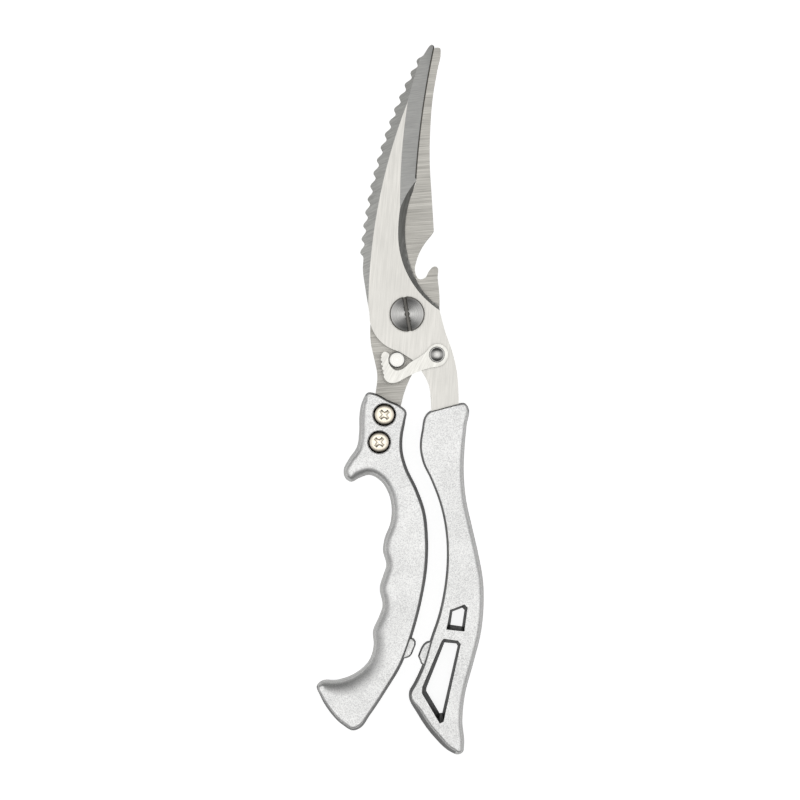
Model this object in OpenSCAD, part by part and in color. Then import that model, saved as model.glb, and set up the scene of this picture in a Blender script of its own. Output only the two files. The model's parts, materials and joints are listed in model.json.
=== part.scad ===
// Poultry shears lying flat and latched shut: blade tips towards +Y, front face up.
// Outlines are laid out from the pivot's axis, and at_pivot() moves them to their place.

/* [Place] */
// X of the pivot's axis
pivot_x = 2.45; // [2:0.05:3]
// Y of the pivot's axis
pivot_y = 31.3; // [31:0.1:31.6]

/* [Blades] */
// Thickness of each blade
blade_t = 3.5; // [3.4:0.05:3.6]
// Running gap between the two blades
blade_gap = 0.1; // [0.05:0.05:0.2]
// Thickness left at the cutting edges
edge_t = 0.4; // [0.3:0.1:0.8]
// Number of scaler teeth on the front blade
tooth_count = 16; // [10:1:20]
// Depth of a scaler tooth
tooth_depth = 1.3; // [0.6:0.1:1.4]

/* [Handles] */
// Thickness of each handle
handle_t = 13; // [13:0.1:13.4]
// Radius of the head pockets
pocket_r = 4.45; // [4.3:0.05:4.6]
// Depth of the head pockets
pocket_depth = 3; // [2.8:0.1:3]

/* [Handle screws] */
// Radius of the shank
screw_r = 2; // [1.8:0.05:2.1]
// Radius of the pan head
head_r = 4.1; // [3.8:0.05:4.15]
// Height of the pan head
head_h = 2.3; // [2:0.1:2.4]

/* [Pivot] */
// Radius of the screw's shoulder
shoulder_r = 4; // [3.8:0.05:4.1]
// Radius of the screw's head
pivot_head_r = 6.4; // [6:0.1:6.6]
// Height of the screw's head
pivot_head_h = 2.3; // [2:0.1:2.5]
// Width of the screwdriver slot
driver_slot_w = 1.6; // [1.2:0.1:2]

/* [Latch] */
// Thickness of the latch
latch_t = 1.8; // [1.6:0.1:1.8]
// Radius of the rivet's shank
rivet_r = 1.5; // [1.3:0.1:1.6]
// Radius of the rivet's head
rivet_head_r = 2.9; // [2.6:0.1:3.1]
// Radius of the catch stud's head
stud_head_r = 2.95; // [2.7:0.05:3.1]
// Radius of the catch stud's neck, where the latch passes
stud_neck_r = 1.3; // [1:0.05:1.35]

/* [Hidden] */

$fn = 96;
cut = 1;            // how far a cutter runs past a face
fit = 0.05;         // clearance round a part that sits in another
turning_fit = 0.03; // radial clearance of what turns
thread_fit = 0.02;  // radial clearance of a plain cylinder that stands for a thread

// Heights: the blades' meeting plane is half way up the handles.
meeting_z = handle_t / 2;
front_z = meeting_z + blade_gap / 2;
front_top = front_z + blade_t;
rear_top = meeting_z - blade_gap / 2;
rear_z = rear_top - blade_t;
latch_washer_r = 3.6;
latch_washer_t = 0.3;
latch_z = front_top + latch_washer_t + fit;
latch_top = latch_z + latch_t;

// The front blade's edges are arcs, each with its centre and radius.
teeth_c = [164, 7.5];
teeth_r = 181.8;
teeth_from = 175.8;
teeth_to = 151;
tooth_steps = 10;
tooth_crest = 0.36;
left_bevel_c = [199, 0.6];
left_bevel_r = 213.2;
left_bevel_w = 4.3;
left_bevel_drop = 1.6;
edge_c = [340, 28];
edge_r = 337.3;
right_bevel_c = [243, 40.5];
right_bevel_r = 245.6;
right_bevel_w = 5.8;
right_bevel_from = 36;
notch_c = [39, 30.2];
notch_r = 39.8;
notch_bevel_c = [29.7, 29.2];
notch_bevel_r = 33;
notch_bevel_w = 2.5;
notch_bevel_drop = 2.4;
notch_rise_c = [59.1, notch_bevel_c[1]]; // the notch's bevel runs on up a wider arc
notch_rise_r = notch_bevel_r + notch_rise_c[0] - notch_bevel_c[0];
notch_rise_y = 50;
blade_reach = 98.7;

// The rear blade's cutting edge is one arc.
rear_edge_c = [514, -17];
rear_edge_r = 518.8;
rear_bevel_w = 4.5;

// Heel of the front blade, an arc round the pivot that the catch stud runs along
heel_r = 13.9;

rivet_at = [10.9, -14.8];
stud_at = [-3.7, -16.7];
stud_body_r = 2.4;
stud_tenon_r = 1.5;
left_screws = [[-8.3, -36.8], [-10.2, -46.8]];
right_screws = [[13.7, -39.5], [13, -49.5]];

// Opening spring: wire, coil and the annular chamber that it sits in
wire_r = 0.5;
coil_r = 6.9;
coil_from = -50;
coil_turn = 541;
coil_rise = 1.48;
leg_l = 8;
leg_play = 0.2;
chamber_in_r = 5.6;
chamber_out_r = 8.3;
chamber_depth = 1.4;
leg_travel = [131, 187];
leg_reach = 11.4;

// ---- Curves -------------------------------------------------------------------------
// An outline is a list of [x, y] points. A third value marks a sharp corner.

function unit(v) = v / norm(v);
function xy(p) = [p[0], p[1]];
function wrap(pts, i) = pts[(i + len(pts)) % len(pts)];
function heading(a, b, c) = unit(unit(b - a) * norm(c - b) + unit(c - b) * norm(b - a));

// Directions in which the outline leaves and reaches point i
function leaving(pts, i) =
    let (a = xy(wrap(pts, i - 1)), b = xy(wrap(pts, i)), c = xy(wrap(pts, i + 1)))
    len(wrap(pts, i)) > 2 ? unit(c - b) : heading(a, b, c);
function reaching(pts, i) =
    let (a = xy(wrap(pts, i - 1)), b = xy(wrap(pts, i)), c = xy(wrap(pts, i + 1)))
    len(wrap(pts, i)) > 2 ? unit(b - a) : heading(a, b, c);

// A point on the smooth curve from p, heading u, to q, heading v
function between(p, u, q, v, t) =
    let (s = t * t * (3 - 2 * t))
    p * (1 - s) + q * s + norm(q - p) * t * (1 - t) * (u * (1 - t) - v * t);

// A closed outline, smooth but for its corners
function smooth(pts, steps = 4) = [
    for (i = [0 : len(pts) - 1])
        let (p = wrap(pts, i), q = wrap(pts, i + 1))
        let (count = len(p) > 2 && len(q) > 2 ? 1 : steps)
        for (k = [0 : count - 1])
            between(xy(p), leaving(pts, i), xy(q), reaching(pts, i + 1), k / steps)
];

// Points on an arc, ends included
function arc(centre, r, from, to, count) = [
    for (i = [0 : count])
        let (a = from + (to - from) * i / count)
        centre + r * [cos(a), sin(a)]
];

// ---- Shapes that repeat ---------------------------------------------------------------

module at_pivot() {
    translate([pivot_x, pivot_y, 0]) children();
}

module plate(pts, z, t) {
    translate([0, 0, z]) linear_extrude(t) polygon(pts);
}

module bore(at, r, z, h) {
    translate([at[0], at[1], z]) cylinder(r = r, h = h);
}

// Keeps what lies between two distances from the pivot along the shears
module along_y(from, to) {
    intersection() {
        children();
        translate([-30, from, -cut]) cube([60, to - from + cut, handle_t + 2 * cut]);
    }
}

// Keeps what lies above a height
module above(z) {
    intersection() {
        children();
        translate([-30, 0, z]) cube([60, blade_reach, handle_t]);
    }
}

// Takes a conical bevel off a plate. It starts at radius r and z, and falls by drop over
// a width w: outwards when w is positive, and inwards when it is negative.
module bevel(centre, r, w, z, drop, up = 1) {
    far = 3;
    translate([centre[0], centre[1], z])
        rotate_extrude($fn = 360)
            polygon([
                [r, 0],
                [r + w * far, -up * drop * far],
                [r + w * far, up * cut],
                [r, up * cut]
            ]);
}

// Wave along the teeth: 0 at a root and 1 at a crest, which lies nearer the pivot
function tooth(i) =
    let (u = (i % tooth_steps) / tooth_steps)
    u < tooth_crest
        ? 0.5 - 0.5 * cos(180 * u / tooth_crest)
        : 0.5 + 0.5 * cos(180 * (u - tooth_crest) / (1 - tooth_crest));

function tooth_edge() =
    let (count = tooth_count * tooth_steps)
    [
        for (i = [0 : count])
            let (a = teeth_from + (teeth_to - teeth_from) * i / count)
            teeth_c + (teeth_r - tooth_depth * (1 - tooth(i))) * [cos(a), sin(a)]
    ];

// ---- Blades ---------------------------------------------------------------------------

front_outline = concat(
    [[7.6, 97.4], [8.3, 98.3], [8.9, blade_reach], [9.5, 98.6], [9.9, 98.2]],
    arc(edge_c, edge_r, 168.1, 176.6, 16),
    arc(notch_c, notch_r, 156, 213, 20),
    smooth([
        [8.9, 4.9, 1], [11.5, 2.9], [12.1, 0.5], [13.8, -6], [16.6, -14], [18.2, -21],
        [18.9, -31.5, 1], [17.2, -54, 1], [9.4, -54, 1],
        [8.7, -31.4, 1], [8, -26.2], [5.3, -20.8], [2.1, -16.9], [-1.8, -14.4, 1]
    ]),
    arc([0, 0], heel_r, 253, 191.4, 12),
    smooth([[-13.8, 0.4, 1], [-15.3, 9.5], [-16.2, 16.5], [-16, 20.2, 1]]),
    tooth_edge()
);

rear_outline = concat(smooth([
    [10.3, 97.7, 1], [12.1, 97.4], [12.3, 96], [11.2, 90], [9.5, 80], [8.5, 68], [8.3, 56],
    [9.1, 42], [9.8, 30.5, 1], [9.4, 29.6, 1], [5.6, 24.6], [3.4, 19.5], [2.9, 15.6],
    [4.6, 12.8], [6.6, 13.4], [8.1, 15.9], [9.9, 17.5], [10.8, 17.4], [11.2, 13.5],
    [11.9, 5], [11.4, -2], [8.8, -10], [4.6, -17.5], [1.1, -23.4], [-0.8, -28],
    [-2.3, -33.5, 1], [-5.4, -51, 1], [-13.2, -51, 1], [-11.5, -28.7, 1], [-10.9, -22.5],
    [-12, -16.5], [-13.3, -10.5], [-13.4, -2.7], [-12.6, 4], [-9, 11.5], [-5.6, 17],
    [-3.4, 24, 1]
]), arc(rear_edge_c, rear_edge_r, 175.4, 167.5, 16));

module front_blade() {
    color([0.86, 0.85, 0.82])
        at_pivot()
            difference() {
                plate(front_outline, front_z, blade_t);
                bevel(left_bevel_c, left_bevel_r, left_bevel_w, front_top, left_bevel_drop);
                along_y(right_bevel_from, blade_reach)
                    bevel(right_bevel_c, right_bevel_r, -right_bevel_w, front_top, blade_t - edge_t);
                along_y(1, notch_bevel_c[1])
                    bevel(notch_bevel_c, notch_bevel_r, -notch_bevel_w, front_top, notch_bevel_drop);
                above(front_z + edge_t)
                    along_y(notch_rise_c[1], notch_rise_y)
                        bevel(notch_rise_c, notch_rise_r, -notch_bevel_w, front_top, notch_bevel_drop);
                bore([0, 0], shoulder_r + fit, front_z - cut, blade_t + 2 * cut);
                bore(rivet_at, rivet_r + fit, front_z - cut, blade_t + 2 * cut);
                for (at = right_screws) bore(at, screw_r + fit, front_z - cut, blade_t + 2 * cut);
                spring_chamber(front_z - cut, chamber_depth + cut);
                leg_groove();
            }
}

module rear_blade() {
    color([0.76, 0.74, 0.7])
        at_pivot()
            difference() {
                plate(rear_outline, rear_z, blade_t);
                along_y(24, blade_reach)
                    bevel(rear_edge_c, rear_edge_r - rear_bevel_w, rear_bevel_w, rear_z,
                        blade_t - edge_t, -1);
                bore([0, 0], shoulder_r + turning_fit, rear_z - cut, blade_t + 2 * cut);
                bore(stud_at, stud_tenon_r + fit, rear_z - cut, blade_t + 2 * cut);
                for (at = left_screws) bore(at, screw_r + fit, rear_z - cut, blade_t + 2 * cut);
                spring_chamber(rear_top - chamber_depth, chamber_depth + cut);
                leg_slot();
            }
}

// ---- Opening spring, and the chamber that holds it --------------------------------------

module spring_chamber(z, h) {
    difference() {
        bore([0, 0], chamber_out_r, z, h);
        bore([0, 0], chamber_in_r, z - cut, h + 2 * cut);
    }
}

// Arc in the front blade that the spring's upper leg sweeps as the blades open
module leg_groove() {
    translate([0, 0, front_z - cut])
        rotate([0, 0, leg_travel[0]])
            rotate_extrude(angle = leg_travel[1] - leg_travel[0])
                translate([chamber_out_r - cut, 0])
                    square([leg_reach - chamber_out_r + cut, chamber_depth + cut]);
}

// Straight slot in the rear blade for the spring's lower leg
module leg_slot() {
    rotate([0, 0, coil_from])
        translate([coil_r - wire_r - leg_play, -leg_l - leg_play, rear_top - chamber_depth])
            cube([2 * (wire_r + leg_play), leg_l, chamber_depth + cut]);
}

coil_low = rear_top - chamber_depth + wire_r + leg_play;
function coil_point(u) =
    let (a = coil_from + coil_turn * u)
    [coil_r * cos(a), coil_r * sin(a), coil_low + coil_rise * u];
function coil_way(u) = let (a = coil_from + coil_turn * u) [-sin(a), cos(a), 0];

coil_steps = 40;
coil_path = concat(
    [coil_point(0) - leg_l * coil_way(0)],
    [for (i = [0 : coil_steps]) coil_point(i / coil_steps)],
    [coil_point(1) + leg_l * coil_way(1)]
);

// A round wire along a path that climbs gently
module wire(path, r, sides = 8) {
    last = len(path) - 1;
    rings = [
        for (i = [0 : last])
            let (ahead = path[min(i + 1, last)] - path[max(i - 1, 0)])
            let (side = unit(cross(ahead, [0, 0, 1])), up = unit(cross(side, ahead)))
            for (k = [0 : sides - 1])
                let (a = 360 * k / sides)
                path[i] + r * (cos(a) * side + sin(a) * up)
    ];
    walls = [
        for (i = [0 : last - 1])
            for (k = [0 : sides - 1])
                let (n = (k + 1) % sides)
                for (face = [
                    [i * sides + k, (i + 1) * sides + k, (i + 1) * sides + n],
                    [i * sides + k, (i + 1) * sides + n, i * sides + n]
                ]) face
    ];
    ends = [
        [for (k = [0 : sides - 1]) k],
        [for (k = [0 : sides - 1]) last * sides + sides - 1 - k]
    ];
    polyhedron(points = rings, faces = concat(walls, ends));
}

module opening_spring() {
    color([0.55, 0.55, 0.56]) at_pivot() wire(coil_path, wire_r);
}

// ---- Pivot ----------------------------------------------------------------------------

thread_r = 3;
nut_r = 6.2;
nut_z = 0.3;
nut_h = 2;
pivot_washer_r = 6.3;
pivot_washer_t = 0.5;
pivot_washer_z = nut_z + nut_h + fit;
thread_play = 0.1;  // how loosely a washer sits on a shank
edge_break = 0.4;   // chamfer on turned parts
slot_depth = 1.4;
slot_angle = 9.6;
head_dish = 0.35;   // how far the middle of the head lies below its rim
head_dish_r = 1.2;

module pivot_screw() {
    tip_z = nut_z + 0.1;
    head_z = front_top + 0.02;
    head_top = head_z + pivot_head_h;
    color([0.8, 0.79, 0.77])
        at_pivot()
            difference() {
                rotate_extrude()
                    polygon([
                        [0, tip_z], [thread_r - edge_break, tip_z], [thread_r, tip_z + edge_break],
                        [thread_r, rear_z], [shoulder_r, rear_z], [shoulder_r, head_z],
                        [pivot_head_r, head_z], [pivot_head_r, head_top - edge_break],
                        [pivot_head_r - edge_break, head_top],
                        [head_dish_r, head_top - head_dish], [0, head_top - head_dish]
                    ]);
                rotate([0, 0, slot_angle])
                    translate([-driver_slot_w / 2, -pivot_head_r - cut, head_top - slot_depth])
                        cube([driver_slot_w, 2 * (pivot_head_r + cut), slot_depth + cut]);
            }
}

module pivot_nut() {
    color([0.78, 0.77, 0.75])
        at_pivot()
            difference() {
                bore([0, 0], nut_r, nut_z, nut_h, $fn = 6);
                bore([0, 0], thread_r + thread_fit, nut_z - cut, nut_h + 2 * cut);
            }
}

module pivot_washer() {
    color([0.6, 0.6, 0.6])
        at_pivot()
            difference() {
                bore([0, 0], pivot_washer_r, pivot_washer_z, pivot_washer_t);
                bore([0, 0], thread_r + thread_play, pivot_washer_z - cut, pivot_washer_t + 2 * cut);
            }
}

// ---- Latch ----------------------------------------------------------------------------

latch_outline = smooth([
    [10.8, -10.9], [8.8, -11.7], [6.9, -13.9], [4.3, -15.8], [0.8, -18], [-0.8, -19.5],
    [-2.4, -20.4], [-4.1, -20.6], [-5.7, -19.5], [-6.7, -17.8], [-6.8, -16.1], [-6.5, -14.8],
    [-7.3, -14], [-8.4, -13.8], [-9.3, -14.8], [-9.5, -18], [-8.9, -21], [-8.1, -23.8],
    [-7.1, -24.8], [-5.4, -25.2], [-3.4, -24.8], [-0.6, -23.3], [3.6, -21.2], [8.8, -19.6],
    [12.2, -18.9], [14.2, -17.3], [15, -14.8], [14.2, -12.4], [12.7, -11.2]
]);
// Serrations for the thumb
grip_count = 5;
grip_r = 0.4;
grip_at = [-9.72, -15.9];
grip_step = [0.235, -1.6];

module latch() {
    color([0.94, 0.93, 0.9])
        at_pivot()
            difference() {
                plate(latch_outline, latch_z, latch_t);
                bore(rivet_at, rivet_r + turning_fit, latch_z - cut, latch_t + 2 * cut);
                for (i = [0 : grip_count - 1])
                    bore(grip_at + i * grip_step, grip_r, latch_z - cut, latch_t + 2 * cut);
            }
}

module latch_washer() {
    color([0.7, 0.7, 0.7])
        at_pivot()
            difference() {
                bore(rivet_at, latch_washer_r, front_top, latch_washer_t);
                bore(rivet_at, rivet_r + thread_play, front_top - cut, latch_washer_t + 2 * cut);
            }
}

// Heads of the rivet and the catch stud
button_z = latch_top + fit;
button_wall = 0.4;
button_h = 0.75;

module latch_rivet() {
    color([0.85, 0.84, 0.81])
        at_pivot()
            translate([rivet_at[0], rivet_at[1], 0])
                rotate_extrude()
                    polygon([
                        [0, front_z], [rivet_r, front_z], [rivet_r, button_z],
                        [rivet_head_r, button_z], [rivet_head_r, button_z + button_wall],
                        [rivet_head_r - edge_break, button_z + button_h],
                        [rivet_r, button_z + button_h],
                        [rivet_r / 2, button_z + button_wall], [0, button_z + button_wall]
                    ]);
}

module catch_stud() {
    body_top = (front_top + latch_z) / 2;
    color([0.88, 0.87, 0.84])
        at_pivot()
            translate([stud_at[0], stud_at[1], 0])
                rotate_extrude()
                    polygon([
                        [0, rear_z], [stud_tenon_r, rear_z], [stud_tenon_r, rear_top],
                        [stud_body_r, rear_top], [stud_body_r, body_top],
                        [stud_neck_r, body_top], [stud_neck_r, button_z],
                        [stud_head_r, button_z], [stud_head_r, button_z + button_wall],
                        [stud_head_r - edge_break, button_z + button_h], [0, button_z + button_h]
                    ]);
}

// ---- Handles --------------------------------------------------------------------------

left_outline = smooth([
    [-14.3, -28.6], [-11.5, -29], [-7, -31.4], [-2.4, -33.5], [-0.3, -35.4], [-0.6, -39],
    [-1.6, -45], [-1.6, -50], [-0.2, -55.5], [3.8, -64], [6.6, -72], [7.7, -82], [7.4, -93],
    [5.9, -102.5], [3.4, -113], [0.4, -122.5], [-1.8, -128], [-7.4, -137.5], [-13.7, -147],
    [-17.2, -151.6], [-19.5, -152.5], [-23.5, -150.5], [-28.8, -145], [-31.8, -139.8],
    [-33, -135.7], [-31.8, -134.4], [-25.3, -133.7], [-18.5, -131], [-14, -126.7],
    [-12.3, -121], [-12.6, -116], [-10.5, -111], [-9.1, -107], [-10.1, -100], [-8.8, -95.5],
    [-7.7, -92], [-8.9, -86.5], [-8.3, -82], [-6.2, -76.5], [-5.7, -71.5], [-7.1, -65],
    [-10, -60.8], [-13.8, -58.9], [-17.5, -60], [-20.6, -61.4], [-22.7, -60], [-23.3, -57.2],
    [-21.4, -53], [-18.5, -48.7], [-17.6, -43], [-17.5, -37], [-16.3, -31.5]
], 5);

right_outline = smooth([
    [6.4, -37.4], [7.4, -36], [11.8, -34.4], [15.4, -33.4], [18.7, -32.6], [21.2, -32.5],
    [22.4, -34], [21.8, -41], [21.1, -49], [20.8, -57], [21.6, -67.5], [23.9, -78],
    [26.3, -88.5], [27.9, -98], [28.1, -106], [27.2, -116], [24.3, -127.8], [21.2, -139.5],
    [20.3, -149], [20.9, -158], [20.4, -160.5], [18.5, -161.3], [16.3, -160.5], [10, -155],
    [3.7, -146.2], [0.6, -139.8], [0.7, -138.2], [2.5, -134.8], [5, -129.5], [8.8, -117.8],
    [11.3, -110.5], [13.4, -101], [14.5, -89], [14.2, -81], [12.4, -71], [8.5, -60.3],
    [5.7, -54.4], [4.6, -48.5], [5.4, -42]
], 5);

// Stop lugs: they meet when the handles are squeezed a degree past their rest
left_lug = smooth([
    [0, -117, 1], [1.9, -117.8], [3.2, -119.8, 1], [3.2, -121, 1], [1.8, -124.5, 1],
    [1, -125.5, 1], [-0.8, -126.2], [-3, -126.5, 1]
]);
right_lug = smooth([
    [9.5, -118.9, 1], [7.6, -119.5], [6.05, -120.6], [5.1, -122.1], [3.9, -125.2, 1],
    [4.7, -126.9, 1], [5.1, -128.4, 1], [7.5, -128.4, 1]
]);
lug_z = 3.5;
lug_h = 6;

screw_tip_z = 1.2;  // from the face that a handle screw points at
hole_spare = 0.2;   // depth of a threaded hole past the screw's tip

// Windows: each tapers from its outline at a face to its throat at the middle
small_window_throat = [[16.6, -108.9], [20.2, -107.5], [21, -108.3], [20.1, -114.3], [15.9, -113.7]];
small_window_face = [[15.7, -108], [21, -106], [22.1, -107.2], [20.9, -115.9], [14.3, -115.2]];
large_window_throat = [
    [13.7, -120.2], [18, -120.6], [18.5, -121.4], [12.9, -145.9], [11.9, -146.1], [7, -137.9],
    [7.1, -136.8]
];
large_window_face = [
    [12.6, -119.3], [13.4, -118.5], [18.5, -119.2], [19.6, -120.5], [13.3, -148.9],
    [11.9, -149.5], [5.4, -138.5], [5.5, -136.2]
];

// Slots that the tangs sit in
left_slot = [[-11.6, -27], [-1.4, -31.5], [-5.3, -51.1], [-13.3, -51.1]];
right_slot = [[8.6, -30], [19, -30], [17.3, -54.1], [9.3, -54.1]];

module window(throat, face) {
    skin = 0.01;
    for (far_z = [-skin, handle_t])
        hull() {
            plate(throat, meeting_z - skin / 2, skin);
            plate(face, far_z, skin);
        }
}

module left_handle() {
    color([0.9, 0.9, 0.89])
        at_pivot()
            difference() {
                union() {
                    plate(left_outline, 0, handle_t);
                    plate(left_lug, lug_z, lug_h);
                }
                plate(left_slot, rear_z - fit, blade_t + 2 * fit);
                for (at = left_screws) {
                    bore(at, pocket_r, handle_t - pocket_depth, pocket_depth + cut);
                    bore(at, screw_r + fit, rear_top, handle_t);
                    bore(at, screw_r + thread_fit, screw_tip_z - hole_spare, rear_z);
                }
            }
}

module right_handle() {
    color([0.9, 0.9, 0.89])
        at_pivot()
            difference() {
                union() {
                    plate(right_outline, 0, handle_t);
                    plate(right_lug, lug_z, lug_h);
                }
                plate(right_slot, front_z - fit, blade_t + 2 * fit);
                window(small_window_throat, small_window_face);
                window(large_window_throat, large_window_face);
                for (at = right_screws) {
                    bore(at, pocket_r, -cut, pocket_depth + cut);
                    bore(at, screw_r + fit, -cut, front_z + cut);
                    bore(at, screw_r + thread_fit, front_top - cut,
                        handle_t - screw_tip_z + hole_spare - front_top + cut);
                }
            }
}

recess_l = 4.2;
recess_w = 1.2;
recess_depth = 0.9;

// Pan-head screw, standing on its tip, with a cross recess turned by angle
module handle_screw(angle) {
    shank_l = handle_t - pocket_depth - screw_tip_z;
    head_top = shank_l + head_h;
    color([0.88, 0.86, 0.79])
        difference() {
            rotate_extrude()
                polygon([
                    [0, 0], [screw_r - edge_break, 0], [screw_r, edge_break], [screw_r, shank_l],
                    [head_r, shank_l], [head_r, shank_l + head_h * 0.4],
                    [head_r * 0.92, shank_l + head_h * 0.65],
                    [head_r * 0.7, shank_l + head_h * 0.87], [head_r * 0.37, head_top], [0, head_top]
                ]);
            for (turn = [0, 90])
                rotate([0, 0, angle + turn])
                    translate([-recess_l / 2, -recess_w / 2, head_top - recess_depth])
                        cube([recess_l, recess_w, recess_depth + cut]);
        }
}

module left_screw(at, angle) {
    at_pivot() translate([at[0], at[1], screw_tip_z]) handle_screw(angle);
}

module right_screw(at, angle) {
    at_pivot()
        translate([at[0], at[1], handle_t - screw_tip_z]) rotate([180, 0, 0]) handle_screw(angle);
}

module left_handle_screw_upper() { left_screw(left_screws[0], 42); }
module left_handle_screw_lower() { left_screw(left_screws[1], 48); }
module right_handle_screw_upper() { right_screw(right_screws[0], 20); }
module right_handle_screw_lower() { right_screw(right_screws[1], 65); }

front_blade();
rear_blade();
pivot_screw();
pivot_nut();
pivot_washer();
opening_spring();
latch();
latch_rivet();
latch_washer();
catch_stud();
left_handle();
right_handle();
left_handle_screw_upper();
left_handle_screw_lower();
right_handle_screw_upper();
right_handle_screw_lower();
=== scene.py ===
# %% [markdown]
# # Poultry shears, lying flat and latched shut
# Two curved blades cross on a slotted shoulder screw, and each blade's tang sits in a cast
# metal handle. This lesson gives each piece the edges, roundings and finish of the real
# one. A node's box is read first.

import json
import math

import bmesh
import bpy
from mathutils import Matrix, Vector
from mathutils.kdtree import KDTree


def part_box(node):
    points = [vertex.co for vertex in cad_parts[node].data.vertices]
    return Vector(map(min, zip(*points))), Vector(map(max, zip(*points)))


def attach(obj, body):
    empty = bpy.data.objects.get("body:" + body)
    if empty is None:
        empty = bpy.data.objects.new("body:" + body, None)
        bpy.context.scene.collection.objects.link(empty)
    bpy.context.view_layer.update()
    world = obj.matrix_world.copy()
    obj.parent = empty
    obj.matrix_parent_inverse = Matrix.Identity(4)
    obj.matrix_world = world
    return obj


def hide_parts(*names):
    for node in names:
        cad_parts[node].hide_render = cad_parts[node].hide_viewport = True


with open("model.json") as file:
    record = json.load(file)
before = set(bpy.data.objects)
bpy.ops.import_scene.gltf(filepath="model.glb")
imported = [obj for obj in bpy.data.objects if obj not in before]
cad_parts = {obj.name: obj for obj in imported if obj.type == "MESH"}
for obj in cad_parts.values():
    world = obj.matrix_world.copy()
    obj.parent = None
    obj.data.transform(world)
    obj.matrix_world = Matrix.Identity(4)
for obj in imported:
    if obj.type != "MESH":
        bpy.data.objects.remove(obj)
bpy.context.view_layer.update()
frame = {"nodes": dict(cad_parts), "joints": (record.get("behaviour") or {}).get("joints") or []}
MM = 0.001


def in_mm(lengths):
    return [round(length / MM, 2) for length in lengths]


# %% [markdown]
# ## Small tools
# An operator acts on everything that is selected, and the frame's nodes are selected after
# loading. So one helper picks a single object, one opens it for editing, and one selects
# faces by where they are and which way they look, as a hand with a mouse would.


# %% Picking and selecting
def pick(obj):
    if bpy.context.mode != "OBJECT":
        bpy.ops.object.mode_set(mode="OBJECT")
    bpy.ops.object.select_all(action="DESELECT")
    obj.select_set(True)
    bpy.context.view_layer.objects.active = obj


def start_editing(obj, what="FACE"):
    pick(obj)
    bpy.ops.object.mode_set(mode="EDIT")
    bpy.ops.mesh.select_mode(type=what)


def stop_editing():
    bpy.ops.object.mode_set(mode="OBJECT")


def select_faces(obj, wanted):
    cage = bmesh.from_edit_mesh(obj.data)
    count = 0
    for face in cage.faces:
        chosen = wanted(face.calc_center_median(), face.normal)
        face.select_set(chosen)
        count += chosen
    bmesh.update_edit_mesh(obj.data)
    return count


def modify(obj, kind, **values):
    pick(obj)
    modifier = obj.modifiers.new(kind.title(), kind)
    for key, value in values.items():
        setattr(modifier, key, value)
    bpy.ops.object.modifier_apply(modifier=modifier.name)


bpy.ops.object.select_all(action="DESELECT")
print("nothing is selected:", not bpy.context.selected_objects)

# %% [markdown]
# ## Copies of the frame's nodes
# A node's mesh is loose triangles. A copy is merged into one skin, and flat triangles are
# dissolved into whole faces, so that a bevel sees the real edges and nothing else.


# %% Copying a node
MERGE = 0.001 * MM  # points closer than this are one
FLAT = math.radians(0.1)  # faces that meet at less than this are one


def copy_of(node, name):
    piece = bpy.data.objects.new(name, frame["nodes"][node].data.copy())
    bpy.context.scene.collection.objects.link(piece)
    piece.data.materials.clear()
    pick(piece)
    bpy.ops.mesh.customdata_custom_splitnormals_clear()
    start_editing(piece, "VERT")
    bpy.ops.mesh.select_all(action="SELECT")
    bpy.ops.mesh.remove_doubles(threshold=MERGE)
    bpy.ops.mesh.dissolve_limited(angle_limit=FLAT)
    stop_editing()
    return piece


def cut_with(piece, tool, operation):
    modify(piece, "BOOLEAN", operation=operation, solver="EXACT", object=tool)
    bpy.data.objects.remove(tool)


def settle(piece, body, slot, *nodes, angle=35):
    pick(piece)
    bpy.ops.object.shade_smooth_by_angle(angle=math.radians(angle))
    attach(piece, body)
    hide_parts(*nodes)
    print(piece.name, "has", len(piece.data.polygons), "faces")


# %% [markdown]
# ## Where things are
# Centres and heights are read off the frame: the pivot from its joint, and each turned
# piece from its node's box.


# %% Centres
def middle_of(node):
    low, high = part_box(node)
    return (low + high) / 2


joints = {joint["name"]: joint for joint in frame["joints"]}
pivot = Vector(joints["blades_open"]["pos_m"])
handle_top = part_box("left_handle")[1].z
front_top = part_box("front_blade")[1].z
print("pivot at", in_mm(pivot), "mm")

# %% [markdown]
# ## Grinding lines
# A ground or brushed surface is thousands of fine parallel scratches. Noise that is
# squeezed across them and stretched along them looks just like that. Every steel here has
# them at its own angle and fineness, so the effect is a node group with those two as inputs.
# It puts out a shade for the colour and a height for the bump.


# %% Node group helpers
def new_group(name, inputs, outputs):
    tree = bpy.data.node_groups.new(name, "ShaderNodeTree")
    for socket, kind, value in inputs:
        made = tree.interface.new_socket(socket, in_out="INPUT", socket_type=kind)
        made.default_value = value
    for socket in outputs:
        tree.interface.new_socket(socket, in_out="OUTPUT", socket_type="NodeSocketFloat")
    return tree, tree.nodes.new("NodeGroupInput"), tree.nodes.new("NodeGroupOutput")


def operate(tree, kind, operation, values, output):
    node = tree.nodes.new(kind)
    node.operation = operation
    for socket, value in zip(node.inputs, values):
        if isinstance(value, bpy.types.NodeSocket):
            tree.links.new(value, socket)
        else:
            socket.default_value = value
    return node.outputs[output]


def math_node(tree, operation, *values):
    return operate(tree, "ShaderNodeMath", operation, values, "Value")


def vector_node(tree, operation, *values):
    output = "Value" if operation == "LENGTH" else "Vector"
    return operate(tree, "ShaderNodeVectorMath", operation, values, output)


def noise_node(tree, vector, scale, detail=2.0, roughness=0.5):
    node = tree.nodes.new("ShaderNodeTexNoise")
    node.inputs["Scale"].default_value = scale
    node.inputs["Detail"].default_value = detail
    node.inputs["Roughness"].default_value = roughness
    tree.links.new(vector, node.inputs["Vector"])
    return node.outputs["Fac"]


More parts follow.
